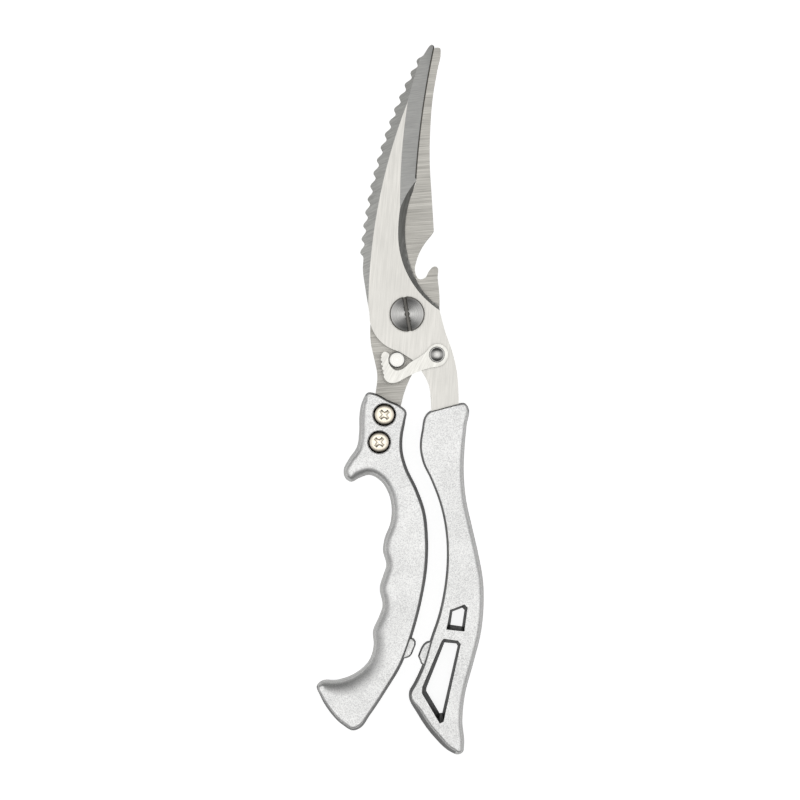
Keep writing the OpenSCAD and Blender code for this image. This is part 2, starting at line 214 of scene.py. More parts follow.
def clouded(tree, fine, place, scale, depth):
    """The fine pattern with slow clouds of tone laid over it."""
    clouds = noise_node(tree, place, scale)
    broad = math_node(tree, "MULTIPLY", math_node(tree, "SUBTRACT", clouds, 0.5), depth)
    return math_node(tree, "ADD", fine, broad)


# %% Grinding lines
def make_grinding():
    tree, given, put = new_group(
        "grinding lines",
        [
            ("Turn", "NodeSocketFloat", 0.0),
            ("Lines per metre", "NodeSocketFloat", 3000.0),
            ("Stretch", "NodeSocketFloat", 0.03),
        ],
        ["Shade", "Height"],
    )
    place = tree.nodes.new("ShaderNodeTexCoord").outputs["Object"]
    turned = tree.nodes.new("ShaderNodeVectorRotate")
    turned.rotation_type = "Z_AXIS"
    tree.links.new(place, turned.inputs["Vector"])
    tree.links.new(given.outputs["Turn"], turned.inputs["Angle"])
    along = math_node(tree, "MULTIPLY", given.outputs["Lines per metre"], given.outputs["Stretch"])
    squeeze = tree.nodes.new("ShaderNodeCombineXYZ")
    tree.links.new(given.outputs["Lines per metre"], squeeze.inputs["X"])
    tree.links.new(along, squeeze.inputs["Y"])
    tree.links.new(along, squeeze.inputs["Z"])
    scaled = vector_node(
        tree, "MULTIPLY", turned.outputs["Vector"], squeeze.outputs["Vector"],
    )
    lines = noise_node(tree, scaled, 1.0, detail=3.0, roughness=0.7)
    tree.links.new(clouded(tree, lines, place, 60.0, 0.22), put.inputs["Shade"])
    tree.links.new(lines, put.inputs["Height"])
    return tree


grinding = make_grinding()
print("group:", grinding.name)

# %% [markdown]
# ## Turned rings and cast grain
# A turned head shows fine rings round its own centre, which is noise read along the
# radius. A blasted casting shows a random sparkle of pits about half a millimetre across,
# with slow clouds of tone over them.


# %% Turned rings
def make_rings():
    tree, given, put = new_group(
        "turned rings",
        [("Centre", "NodeSocketVector", (0, 0, 0)), ("Rings per metre", "NodeSocketFloat", 4000.0)],
        ["Shade", "Height"],
    )
    place = tree.nodes.new("ShaderNodeTexCoord").outputs["Object"]
    moved = vector_node(tree, "SUBTRACT", place, given.outputs["Centre"])
    radius = vector_node(tree, "LENGTH", vector_node(tree, "MULTIPLY", moved, (1, 1, 0)))
    step = math_node(tree, "MULTIPLY", radius, given.outputs["Rings per metre"])
    ring = tree.nodes.new("ShaderNodeTexNoise")
    ring.noise_dimensions = "1D"
    ring.inputs["Scale"].default_value = 1.0
    ring.inputs["Detail"].default_value = 2.0
    tree.links.new(step, ring.inputs["W"])
    tree.links.new(ring.outputs["Fac"], put.inputs["Shade"])
    tree.links.new(ring.outputs["Fac"], put.inputs["Height"])
    return tree


# %% Blasted grain
def make_grain():
    tree, given, put = new_group(
        "blasted grain",
        [("Grains per metre", "NodeSocketFloat", 1500.0)],
        ["Shade", "Height"],
    )
    place = tree.nodes.new("ShaderNodeTexCoord").outputs["Object"]
    scaled = vector_node(tree, "MULTIPLY", place, given.outputs["Grains per metre"])
    pits = noise_node(tree, scaled, 1.0, detail=3.0, roughness=0.65)
    tree.links.new(clouded(tree, pits, place, 70.0, 0.14), put.inputs["Shade"])
    tree.links.new(pits, put.inputs["Height"])
    return tree


rings = make_rings()
grain = make_grain()
print("groups:", rings.name, "and", grain.name)

# %% [markdown]
# ## One way to make every metal
# Each finish is a Principled shader whose colour and roughness swing with one of the
# groups, between two ends that are chosen for that finish, with a fine bump from the same
# group. The numbers that are even all over stay on the shader's own sockets. A call gives
# the dark and light colour, the two ends of the roughness, and how strong the bump is.


# %% Metal materials
def put_group(tree, group, **values):
    node = tree.nodes.new("ShaderNodeGroup")
    node.node_tree = group
    for socket, value in values.items():
        node.inputs[socket.replace("_", " ")].default_value = value
    return node


def ramp(tree, value, stops, low=0.3, high=0.7):
    node = tree.nodes.new("ShaderNodeValToRGB")
    node.color_ramp.elements[0].position = low
    node.color_ramp.elements[1].position = high
    for element, colour in zip(node.color_ramp.elements, stops):
        element.color = (*colour, 1)
    tree.links.new(value, node.inputs["Fac"])
    return node.outputs["Color"]


def span(tree, value, low, high, start=0.3, end=0.7, smooth=False):
    node = tree.nodes.new("ShaderNodeMapRange")
    if smooth:
        node.interpolation_type = "SMOOTHSTEP"
    for socket, number in (
        ("From Min", start), ("From Max", end), ("To Min", low), ("To Max", high),
    ):
        node.inputs[socket].default_value = number
    tree.links.new(value, node.inputs["Value"])
    return node.outputs["Result"]


def bump(tree, shader, height, strength, distance):
    lift = tree.nodes.new("ShaderNodeBump")
    lift.inputs["Strength"].default_value = strength
    lift.inputs["Distance"].default_value = distance
    tree.links.new(height, lift.inputs["Height"])
    tree.links.new(lift.outputs["Normal"], shader.inputs["Normal"])


def new_finish(name, group, **values):
    made = bpy.data.materials.new(name)
    made.use_nodes = True
    tree = made.node_tree
    effect = put_group(tree, group, **values).outputs
    return made, tree, tree.nodes["Principled BSDF"], effect["Shade"], effect["Height"]


def metal(name, group, dark, light, rough, relief, **values):
    made, tree, shader, shade, height = new_finish(name, group, **values)
    tree.links.new(ramp(tree, shade, (dark, light)), shader.inputs["Base Color"])
    tree.links.new(span(tree, shade, *rough), shader.inputs["Roughness"])
    shader.inputs["Metallic"].default_value = 1.0
    bump(tree, shader, height, relief, 0.02 * MM)
    return made


# %% [markdown]
# ## The steels
# The front blade's flat is brushed along its length. Its two bevels are ground across, and
# are greyer because they tilt away from the light; their colours are also lit and shaded
# copies of one ground steel, with the right bevel painted much lighter than the left. The
# bone notch has a smooth chamfer, painted dark as shade. The rear blade is ground across in
# strong lines that fall a little to the right. Cut walls are painted nearly black, a painted
# shade along the edges.

# %% Steel finishes
brushed_flat = metal(
    "brushed flat", grinding, (0.53, 0.52, 0.49), (0.62, 0.605, 0.57), (0.36, 0.28), 0.12,
    Turn=0.08, Lines_per_metre=5200.0, Stretch=0.015,
)
# The left bevel's colour is a painted shade, darker than the right bevel's.
ground_left_shaded = metal(
    "ground left bevel, painted shade", grinding, (0.46, 0.46, 0.44), (0.70, 0.70, 0.67), (0.42, 0.32), 0.3,
    Turn=1.15, Lines_per_metre=3600.0, Stretch=0.05,
)
# The right bevel's colour is painted light, the lit copy of the same ground steel.
ground_right_lit = metal(
    "ground right bevel, painted light", grinding, (0.67, 0.67, 0.65), (0.88, 0.88, 0.85), (0.42, 0.32), 0.3,
    Turn=1.42, Lines_per_metre=3400.0, Stretch=0.04,
)
# The notch chamfer is painted dark, a painted shade.
shaded_chamfer = metal(
    "smooth chamfer, painted shade", grinding, (0.20, 0.20, 0.19), (0.30, 0.30, 0.285), (0.34, 0.28), 0.05,
    Turn=0.2, Lines_per_metre=1200.0, Stretch=0.05,
)
# The cut walls, slots and recesses are painted nearly black, a painted shade.
shaded_cut_edge = metal(
    "cut edge, painted shade", grinding, (0.13, 0.125, 0.115), (0.22, 0.21, 0.195), (0.5, 0.4), 0.1,
    Turn=0.0, Lines_per_metre=1500.0, Stretch=0.2,
)
cross_ground = metal(
    "cross ground steel", grinding, (0.31, 0.30, 0.275), (0.55, 0.535, 0.495), (0.45, 0.33), 0.4,
    Turn=1.5, Lines_per_metre=5600.0, Stretch=0.008,
)
latch_satin = metal(
    "satin latch steel", grinding, (0.60, 0.59, 0.555), (0.71, 0.70, 0.66), (0.36, 0.26), 0.12,
    Turn=0.5, Lines_per_metre=2500.0, Stretch=0.05,
)
spring_steel = metal(
    "plain spring steel", grinding, (0.38, 0.38, 0.375), (0.55, 0.55, 0.54), (0.45, 0.35), 0.1,
    Turn=0.0, Lines_per_metre=2000.0, Stretch=0.1,
)
steels = (
    brushed_flat, ground_left_shaded, ground_right_lit, shaded_chamfer, shaded_cut_edge, cross_ground,
    latch_satin, spring_steel,
)
print("steel finishes:", [made.name for made in steels])


# %% Turned finishes
def turned_metal(name, centre, dark, light, rough, per_metre=4200.0):
    return metal(name, rings, dark, light, rough, 0.25, Centre=centre, Rings_per_metre=per_metre)


# %% [markdown]
# ## The casting's finish and its painted shade
# The handles are cast, tumbled and blasted, and their broad faces are bright. Their walls
# are painted darker as shade: the grain's colour is mixed with a darker one by how far the
# surface leans, read from the true normal. On the inner walls the painted shade is dark, and
# in the windows and pockets it is a nearly black painted shadow. On the sides that the hand
# holds it is a soft grey, and on the wide scoop at the end it turns grey early. So one
# function makes four finishes. Its inputs are the painted shade's two tones, the leans
# between which it gives way, how metallic each is, and the gloss.


# %% Blasted casting, with painted shade on its walls
def make_casting(name, shade_tones, lean, metallic, gloss):
    made, tree, shader, shade, height = new_finish(name, grain, Grains_per_metre=2600.0)
    bright = ramp(tree, shade, ((0.70, 0.70, 0.695), (1.0, 1.0, 0.985)), 0.32, 0.58)
    dark, light = ((grey, grey, grey * 0.98) for grey in shade_tones)
    # The skin is painted shade: the darker colour that the leaning walls take.
    skin = ramp(tree, shade, (dark, light), 0.25, 0.72)
    facing = tree.nodes.new("ShaderNodeNewGeometry")
    parts = tree.nodes.new("ShaderNodeSeparateXYZ")
    tree.links.new(facing.outputs["True Normal"], parts.inputs["Vector"])
    level = math_node(tree, "ABSOLUTE", parts.outputs["Z"])
    # blasted is 1 on level faces and falls to 0 on leaning walls, which take the painted shade.
    blasted = span(tree, level, 0.0, 1.0, *lean, smooth=True)
    mix = tree.nodes.new("ShaderNodeMix")
    mix.data_type = "RGBA"
    tree.links.new(blasted, mix.inputs["Factor"])
    tree.links.new(skin, mix.inputs["A"])
    tree.links.new(bright, mix.inputs["B"])
    tree.links.new(mix.outputs["Result"], shader.inputs["Base Color"])
    tree.links.new(span(tree, shade, 0.52, 0.36), shader.inputs["Roughness"])
    tree.links.new(span(tree, blasted, *metallic, 0.0, 1.0), shader.inputs["Metallic"])
    shader.inputs["Specular IOR Level"].default_value = gloss
    bump(tree, shader, height, 0.55, 0.08 * MM)
    return made


# Four depths of painted shade: dark on the inner walls, a soft grey on the hand side, grey from
# early on in the scoop, and a nearly black painted shadow in the recesses.
inner_wall_shade = make_casting("casting with dark painted shade", (0.06, 0.13), (0.3, 0.85), (0.3, 0.85), 0.2)
hand_side_shade = make_casting("casting with soft painted shade by the hand", (0.30, 0.46), (0.3, 0.92), (0.6, 0.85), 0.3)
scoop = make_casting("casting with grey painted shade in the scoop", (0.38, 0.56), (0.4, 0.97), (0.6, 0.85), 0.3)
recess = make_casting("casting with a painted shadow in a recess", (0.008, 0.035), (0.3, 0.85), (0.0, 0.85), 0.05)
print("casting finishes:", [made.name for made in (inner_wall_shade, hand_side_shade, scoop, recess)])

# %% [markdown]
# ## The handles
# A die-cast handle has a parting line half way up, walls that lean in from it by a degree
# or more so that the casting leaves its die, and edges rounded to suit the hand: sharp on
# the inner side, full where the fingers lie, and a wide scoop on the hook at the end. A
# bevel can't change its width along an edge, so the handle is raised ring by ring. Its
# outline is read off the node's front face, each ring is extruded and drawn in by its own
# amount at every point, and the front half is mirrored to the back.


# %% Reading an outline
def area_of(loop):
    return sum(a.cross(b) for a, b in zip(loop, loop[1:] + loop[:1])) / 2


def outline_of(node, z):
    mesh = frame["nodes"][node].data
    follow = {}
    for face in mesh.polygons:
        corners = [tuple(mesh.vertices[i].co) for i in face.vertices]
        if max(abs(c[2] - z) for c in corners) > 2 * MERGE:
            continue
        for a, b in zip(corners, corners[1:] + corners[:1]):
            if follow.get(b[:2]) and a[:2] in follow[b[:2]]:
                follow[b[:2]].remove(a[:2])
            else:
                follow.setdefault(a[:2], set()).add(b[:2])
    loops = []
    while any(follow.values()):
        here = next(p for p in follow if follow[p])
        loop = []
        while follow.get(here):
            loop.append(Vector(here))
            here = follow[here].pop()
        loops.append(loop)
    return max(loops, key=area_of)


def evenly(loop, step):
    ends = loop[1:] + loop[:1]
    length = sum((b - a).length for a, b in zip(loop, ends))
    count = round(length / step)
    step = length / count
    points, along, target = [], 0.0, 0.0
    for a, b in zip(loop, ends):
        side = (b - a).length
        while target < along + side - 1e-9 and len(points) < count:
            points.append(a.lerp(b, (target - along) / side))
            target += step
        along += side
    return points


point_spacing = 0.75 * MM
left_line = evenly(outline_of("left_handle", handle_top), point_spacing)
right_line = evenly(outline_of("right_handle", handle_top), point_spacing)
print("outline points:", len(left_line), "and", len(right_line))

# %% [markdown]
# Each stretch of edge has its own lean and radius. They are given at a few places on the
# outline, as x and y from the pivot, the lean's width and the radius, all in millimetres,
# and every point between takes a blend of its two neighbours.

# %% Edge styles
left_edges = [
    (-14.3, -28.6, 0.35, 0.5), (-7.0, -31.4, 0.35, 0.45), (-1.0, -34.3, 0.45, 0.4),
    (-1.6, -45.0, 0.85, 0.35), (7.7, -82.0, 0.95, 0.35), (3.4, -113.0, 0.9, 0.35),
    (-13.7, -147.0, 0.9, 0.5), (-18.2, -152.2, 1.0, 0.8), (-28.8, -145.0, 0.9, 0.7),
    (-33.0, -136.2, 0.4, 0.7), (-31.8, -134.4, 0.3, 1.6), (-28.0, -133.9, 0.3, 5.6),
    (-21.5, -132.4, 0.3, 9.2), (-16.0, -129.0, 0.3, 8.0), (-12.3, -121.0, 0.3, 5.4),
    (-10.5, -111.0, 0.3, 3.6),
    (-9.6, -100.0, 0.3, 2.9), (-8.3, -82.0, 0.3, 2.7), (-5.7, -71.5, 0.35, 2.7),
    (-10.0, -60.8, 0.55, 2.5), (-17.5, -60.0, 0.6, 2.6), (-21.4, -61.2, 0.5, 2.0),
    (-23.3, -57.2, 0.5, 1.8), (-18.5, -48.7, 0.7, 1.9), (-17.5, -37.0, 0.7, 1.8),
    (-16.3, -31.5, 0.6, 1.4),
]
right_edges = [
    (6.4, -37.4, 0.4, 0.4), (11.8, -34.4, 0.35, 0.4), (21.2, -32.5, 0.35, 0.5),
    (22.0, -38.0, 0.4, 1.1), (20.8, -57.0, 0.4, 1.5), (26.3, -88.5, 0.4, 1.6),
    (28.1, -106.0, 0.4, 1.5), (24.3, -127.8, 0.4, 1.5), (20.3, -149.0, 0.4, 1.5),
    (20.4, -160.5, 0.6, 1.1), (16.3, -160.5, 1.4, 0.9), (10.0, -155.0, 1.7, 0.93),
    (3.7, -146.2, 1.6, 0.9), (0.6, -139.0, 0.8, 0.4), (5.0, -129.5, 0.8, 0.35),
    (8.8, -117.8, 0.6, 0.35), (14.5, -89.0, 0.5, 0.35), (8.5, -60.3, 0.5, 0.35),
    (4.6, -48.5, 0.5, 0.35),
]


def styles_along(line, edges):
    near = []
    for x, y, lean, radius in edges:
        spot = pivot.xy + Vector((x, y)) * MM
        index = min(range(len(line)), key=lambda i: (line[i] - spot).length)
        near.append((index, lean * MM, radius * MM))
    near.sort()
    before = (near[-1][0] - len(line), *near[-1][1:])
    after = (near[0][0] + len(line), *near[0][1:])
    near = [before, *near, after]
    leans, radii = [], []
    for i in range(len(line)):
        a, b = next((a, b) for a, b in zip(near, near[1:]) if a[0] <= i < b[0])
        share = (i - a[0]) / (b[0] - a[0])
        share = share * share * (3 - 2 * share)
        leans.append(a[1] + (b[1] - a[1]) * share)
        radii.append(a[2] + (b[2] - a[2]) * share)
    return leans, radii


# %% [markdown]
# Drawing a ring in by a large amount at a sharp corner would fold it over itself. So it
# moves in small steps, and after each step the points slide along the ring to stay apart.


# %% Planning the rings
LONGEST_STEP = 0.12 * MM


def drawn_in(line, by):
    passes = max(1, math.ceil(max(by) / LONGEST_STEP))
    count = len(line)
    for _ in range(passes):
        ways = [(line[(i + 1) % count] - line[i - 1]).normalized() for i in range(count)]
        line = [p + Vector((-w.y, w.x)) * d / passes for p, w, d in zip(line, ways, by)]
        for _ in range(2):
            slid = []
            for i, p in enumerate(line):
                a, b = line[i - 1], line[(i + 1) % count]
                way = (b - a).normalized()
                slid.append(p + way * ((a + b) / 2 - p).dot(way) * 0.5)
            line = slid
    return line


def fall_of(radius):
    """How far a rounding drops: its own radius, but a wide one drops less than it spreads."""
    return min(radius, 2.4 * MM + 0.2 * radius)


def ring_plan(line, leans, radii, half):
    ridge, foot, foot_height, lip = 0.03 * MM, 0.12 * MM, 0.15 * MM, 0.3 * MM
    depths = [[ridge] * len(line), [foot] * len(line)]
    heights = [[0.0] * len(line), [foot_height] * len(line)]
    for angle in range(0, 91, 10):
        a = math.radians(angle)
        rise = [half - fall_of(r) * (1 - math.sin(a)) for r in radii]
        heights.append(rise)
        depths.append([
            foot + lean * z / half + r * (1 - math.cos(a)) for lean, r, z in zip(leans, radii, rise)
        ])
    heights.append(list(heights[-1]))
    depths.append([d + lip for d in depths[-1]])
    return depths, heights


# %% [markdown]
# Each ring is an extrusion of the one below it, and its points are then put where the plan
# says. A point is found again by its place, because an extrusion may renumber the points.


# %% Raising the rings
def keyed(points):
    return [(round(p.x * 1e8), round(p.y * 1e8)) for p in points]


def raise_rings(name, line, leans, radii, low, high):
    half = (high - low) / 2
    depths, heights = ring_plan(line, leans, radii, half)
    bpy.ops.object.select_all(action="DESELECT")
    bpy.ops.mesh.primitive_circle_add(vertices=len(line), radius=half, location=(0, 0, low + half))
    piece = bpy.context.object
    piece.name = name
    line = drawn_in(line, depths[0])
    for vertex, p in zip(piece.data.vertices, line):
        vertex.co = (p.x, p.y, 0)
    start_editing(piece, "EDGE")
    bpy.ops.mesh.select_all(action="SELECT")
    for k in range(1, len(depths)):
        bpy.ops.mesh.extrude_region_move()
        cage = bmesh.from_edit_mesh(piece.data)
        where = {tuple(p): i for i, p in enumerate(keyed(line))}
        line = drawn_in(line, [b - a for a, b in zip(depths[k - 1], depths[k])])
        for vertex in cage.verts:
            if vertex.select:
                i = where[keyed([vertex.co])[0]]
                vertex.co = (line[i].x, line[i].y, heights[k][i])
        bmesh.update_edit_mesh(piece.data)
    bpy.ops.mesh.edge_face_add()
    stop_editing()
    modify(piece, "MIRROR", use_axis=(False, False, True), merge_threshold=MERGE)
    start_editing(piece)
    bpy.ops.mesh.select_all(action="SELECT")
    bpy.ops.mesh.normals_make_consistent(inside=False)
    stop_editing()
    bpy.ops.object.transform_apply(location=True, rotation=True, scale=True)
    return piece


# %% [markdown]
# Which wall gets which finish, and so how dark its painted shade is, is decided by the
# rounding of the outline beside it: a full rounding lies under the hand, the widest is the
# scoop, and a sharp one is an inner wall. A steep wall far from the outline belongs to a
# window, a pocket or the tang's slot, and takes a painted shadow.


# %% Giving faces their finishes
def give_finishes(piece, base, rules):
    piece.data.materials.clear()
    for made in (base, *(made for made, _ in rules)):
        piece.data.materials.append(made)
    start_editing(piece)
    for index, (made, wanted) in enumerate(rules, start=1):
        count = select_faces(piece, wanted)
        piece.active_material_index = index
        bpy.ops.object.material_slot_assign()
        print("  ", made.name, "on", count, "faces")
    stop_editing()


def shade_walls(piece, line, radii):
    tree = KDTree(len(line))
    for i, p in enumerate(line):
        tree.insert((p.x, p.y, 0), i)
    tree.balance()
    hand_radius, scoop_radius = 0.95 * MM, 2.75 * MM
    recess_depth, steep = 2.2 * MM, 0.85

    def rounded(c, least):
        _, i, far = tree.find((c.x, c.y, 0))
        return radii[i] > least and far < radii[i] + 1.0 * MM

    def sunk(c, n):
        far = tree.find((c.x, c.y, 0))[2]
        return abs(n.z) < steep and far > recess_depth and not rounded(c, scoop_radius)

    # Each wall takes its depth of painted shade.
    give_finishes(piece, inner_wall_shade, [
        (hand_side_shade, lambda c, n: rounded(c, hand_radius)),
        (scoop, lambda c, n: rounded(c, scoop_radius)),
        (recess, sunk),
    ])


# %% [markdown]
# A small stop lug stands on each handle's inner wall. It is raised the same way, on the
# lug's own outline, with the part inside the handle pushed further in so that the two
# join. The node itself then cuts the casting: what they share keeps the pockets, the
# tang's slot and the windows exactly where they are in the frame.


# %% Handles
INSIDE = 0.02 * MM  # a casting stays this far inside its node's top and bottom
lug_top = 9.5 * MM
lug_spacing, lug_reach, lug_lean, lug_radius = 0.4 * MM, 0.45 * MM, 0.35 * MM, 0.3 * MM


def make_handle(node, name, body, line, edges, inward):
    leans, radii = styles_along(line, edges)
    piece = raise_rings(name, line, leans, radii, INSIDE, handle_top - INSIDE)
    lug = evenly(outline_of(node, lug_top), lug_spacing)
    joined = [
        p + Vector((inward, 0)) if min((p - q).length for q in line) < lug_reach else p
        for p in lug
    ]
    stop = raise_rings(
        "lug", joined, [lug_lean] * len(lug), [lug_radius] * len(lug),
        handle_top - lug_top + INSIDE, lug_top - INSIDE,
    )
    cut_with(piece, stop, "UNION")
    cut_with(piece, copy_of(node, "cutter"), "INTERSECT")
    shade_walls(piece, line, radii)
    settle(piece, body, "handle_casting", node, angle=32)


make_handle("left_handle", "left_handle_casting", "rear_half", left_line, left_edges, -3 * MM)
make_handle("right_handle", "right_handle_casting", "front_half", right_line, right_edges, 3 * MM)

# %% [markdown]
# ## The blades
# The blades are stamped and ground, so the frame's shape is the right one: what it lacks
# is the tiny broken edge that catches light on real steel. A narrow bevel gives it. The
# faces are sorted by the way they look, and each group takes its own finish. The level
# faces look straight up or down, the ground bevels lean a little, and the notch's chamfer
# leans more.


# %% Sorting and breaking edges
LEVEL, BEVEL, CHAMFER, LOWEST = 0.99, 0.985, 0.8, 0.5  # how far a face looks up


def looks_level(c, n):
    return abs(n.z) > LEVEL


def break_edges(piece, width, segments=2, angle=30):
    modify(
        piece, "BEVEL", width=width * MM, segments=segments, limit_method="ANGLE",
        angle_limit=math.radians(angle), use_clamp_overlap=True, miter_outer="MITER_ARC",
    )


def keep_flats_flat(piece):
    modify(piece, "WEIGHTED_NORMAL", mode="FACE_AREA", weight=80, keep_sharp=True)


# %% [markdown]
# The front blade's cutting edge is stoned back beyond the bone notch, so its narrow wall
# leans into view; the wall's dark paint makes a thin dark line along it, a painted shadow
# between the blades. The top of that narrow wall is selected by its neighbouring faces and
# moved back.

# %% Front blade
edge_starts, edge_lean = pivot.y + 49.5 * MM, 0.5 * MM
front_blade = copy_of("front_blade", "front_blade_steel")
# Walls take the cut edge's painted shade, and the bevels their lit and shaded copies.
give_finishes(front_blade, shaded_cut_edge, [
    (brushed_flat, looks_level),
    (ground_left_shaded, lambda c, n: CHAMFER < n.z < BEVEL and n.x < 0),
    (ground_right_lit, lambda c, n: CHAMFER < n.z < BEVEL and n.x > 0),
    (shaded_chamfer, lambda c, n: LOWEST < n.z <= CHAMFER),
])
start_editing(front_blade, "VERT")
cage = bmesh.from_edit_mesh(front_blade.data)
for corner in cage.verts:
    on_edge = any(f.normal.x > 0.9 and abs(f.normal.z) < 0.1 for f in corner.link_faces)
    raised = any(f.normal.z > LOWEST for f in corner.link_faces)
    corner.select_set(on_edge and raised and corner.co.y > edge_starts)
print("corners moved:", sum(corner.select for corner in cage.verts))
bmesh.update_edit_mesh(front_blade.data)
bpy.ops.transform.translate(value=(-edge_lean, 0, 0))
stop_editing()
break_edges(front_blade, 0.1, angle=40)
settle(front_blade, "front_half", "front_blade_steel", "front_blade", angle=14)
keep_flats_flat(front_blade)

# %% Rear blade
rear_blade = copy_of("rear_blade", "rear_blade_steel")
# The rear blade's walls take the cut edge's painted shade.
give_finishes(rear_blade, shaded_cut_edge, [
    (cross_ground, looks_level),
    (ground_right_lit, lambda c, n: -BEVEL < n.z < -LOWEST),
])
break_edges(rear_blade, 0.1, angle=40)
settle(rear_blade, "rear_half", "rear_blade_steel", "rear_blade", angle=14)
keep_flats_flat(rear_blade)

# %% [markdown]
# ## The latch
# The latch is a small blanked plate in bright satin steel. Its upright walls are painted
# dark, a painted shade along its edges, and its edges are lightly tumbled. Its thumb
# serrations come with the frame.

# %% Latch
latch = copy_of("latch", "latch_plate")
# The upright walls are painted dark, a painted shade.
give_finishes(latch, latch_satin, [(shaded_cut_edge, lambda c, n: abs(n.z) < 0.2)])
break_edges(latch, 0.14)
settle(latch, "latch_lever", "latch_steel", "latch")
keep_flats_flat(latch)

# %% [markdown]
# ## Turned pieces
# A screw, rivet or stud is turned on a lathe. The same can be done by hand here: a circle
# is laid down at the tip, and each step of the profile is an extrusion that is then scaled
# about the axis. The last ring closes on the axis.


# %% Turning a profile
def turn(name, centre, profile, sides=96):
    r, z = profile[0]
    bpy.ops.object.select_all(action="DESELECT")
    bpy.ops.mesh.primitive_circle_add(
        vertices=sides, radius=r * MM, fill_type="NGON", location=(centre.x, centre.y, z * MM)
    )
    piece = bpy.context.object
    piece.name = name
    start_editing(piece)
    bpy.ops.mesh.select_all(action="SELECT")
    for (r0, z0), (r1, z1) in zip(profile, profile[1:]):
        bpy.ops.mesh.extrude_region_move(TRANSFORM_OT_translate={"value": (0, 0, (z1 - z0) * MM)})
        k = r1 / r0
        bpy.ops.transform.resize(value=(k, k, 1), center_override=(centre.x, centre.y, z1 * MM))
    bpy.ops.mesh.select_all(action="SELECT")
    bpy.ops.mesh.normals_make_consistent(inside=False)
    stop_editing()
    bpy.ops.object.transform_apply(location=True, rotation=True, scale=True)
    return piece


def thread(r, low, high, pitch):
    steps = []
    z = low
    while z + pitch < high:
        steps += [(r - 0.12, z), (r, z + pitch * 0.5)]
        z += pitch
    return [*steps, (r, high)]


# %% [markdown]
# The pivot screw's head is dished: its face falls from a thin rim to the middle, which is
# why it throws dark and bright wedges of the room. The driver slot is cut across it, and
# the slot and the rim are painted dark as shade.


# %% Cutting a slot
def block(name, centre, size, turn_by=0.0, taper=(1, 1, 1)):
    bpy.ops.object.select_all(action="DESELECT")
    bpy.ops.mesh.primitive_cube_add(size=1, location=centre)
    piece = bpy.context.object
    piece.name = name
    start_editing(piece)
    select_faces(piece, lambda c, n: n.z < -0.9)
    bpy.ops.transform.resize(value=taper, center_override=centre)
    stop_editing()
    piece.scale = [s * MM for s in size]
    piece.rotation_euler = (0, 0, turn_by)
    bpy.ops.object.transform_apply(location=True, rotation=True, scale=True)
    return piece


# %% Pivot screw
head_low, head_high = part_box("pivot_screw")
head_top = head_high.z / MM
tip = head_low.z / MM
rear_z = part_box("rear_blade")[0].z / MM
seat = front_top / MM + 0.02
pivot_steel = turned_metal(
    "turned pivot steel", pivot, (0.58, 0.575, 0.56), (0.84, 0.83, 0.81), (0.2, 0.14),
)
pivot_screw = turn("pivot_screw_turned", pivot, [
    (2.6, tip), *thread(3.0, tip + 0.3, rear_z, 0.7), (4.0, rear_z + 0.02), (4.0, seat),
    (6.2, seat + 0.01), (6.4, seat + 0.2), (6.4, head_top - 0.3), (6.37, head_top - 0.12),
    (6.28, head_top - 0.03), (6.2, head_top), (6.1, head_top - 0.01), (5.95, head_top - 0.05),
    (5.0, head_top - 0.42), (4.0, head_top - 0.76), (3.0, head_top - 1.08),
    (2.0, head_top - 1.39), (1.0, head_top - 1.68), (0.4, head_top - 1.8),
])
slot_turn, slot_width, rim_inside = math.radians(9.6), 1.6, 6.0 * MM
slot_at = (pivot.x, pivot.y, (head_top + 0.1) * MM)
slot = block("slot", slot_at, (slot_width, 14, 4.6), slot_turn, (0.6, 1, 1))
cut_with(pivot_screw, slot, "DIFFERENCE")
slot_side = Vector((math.cos(slot_turn), math.sin(slot_turn), 0))
slot_half, slot_floor = (slot_width / 2 + 0.01) * MM, head_high.z - 2.4 * MM


def in_slot(c, n):
    return abs((c - pivot).dot(slot_side)) < slot_half and c.z > slot_floor


# The slot and the rim are painted dark, a painted shade.
give_finishes(pivot_screw, pivot_steel, [
    (shaded_cut_edge, in_slot),
    (shaded_cut_edge, lambda c, n: (c - pivot).xy.length > rim_inside),
])
break_edges(pivot_screw, 0.06, segments=1, angle=50)
settle(pivot_screw, "front_half", "turned_steel", "pivot_screw", angle=40)

# %% [markdown]
# The rivet's head is pressed into a shallow dish, and the stud's is a plain flat button
# with a rounded rim.

# %% Rivet and catch stud
rivet_at = middle_of("latch_rivet")
rivet_low, rivet_high = (corner.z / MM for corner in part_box("latch_rivet"))
rivet_steel = turned_metal(
    "turned rivet steel", rivet_at, (0.42, 0.415, 0.40), (0.62, 0.61, 0.59), (0.3, 0.22),
)
rivet = turn("latch_rivet_turned", rivet_at, [
    (1.5, rivet_low), (1.5, rivet_high - 0.75), (2.85, rivet_high - 0.74),
    (2.9, rivet_high - 0.6), (2.88, rivet_high - 0.25), (2.78, rivet_high - 0.07),
    (2.6, rivet_high), (2.4, rivet_high - 0.05), (2.0, rivet_high - 0.28), (1.5, rivet_high - 0.48),
    (0.9, rivet_high - 0.6), (0.2, rivet_high - 0.64),
], sides=72)
rivet.data.materials.append(rivet_steel)
settle(rivet, "front_half", "turned_steel", "latch_rivet", angle=50)

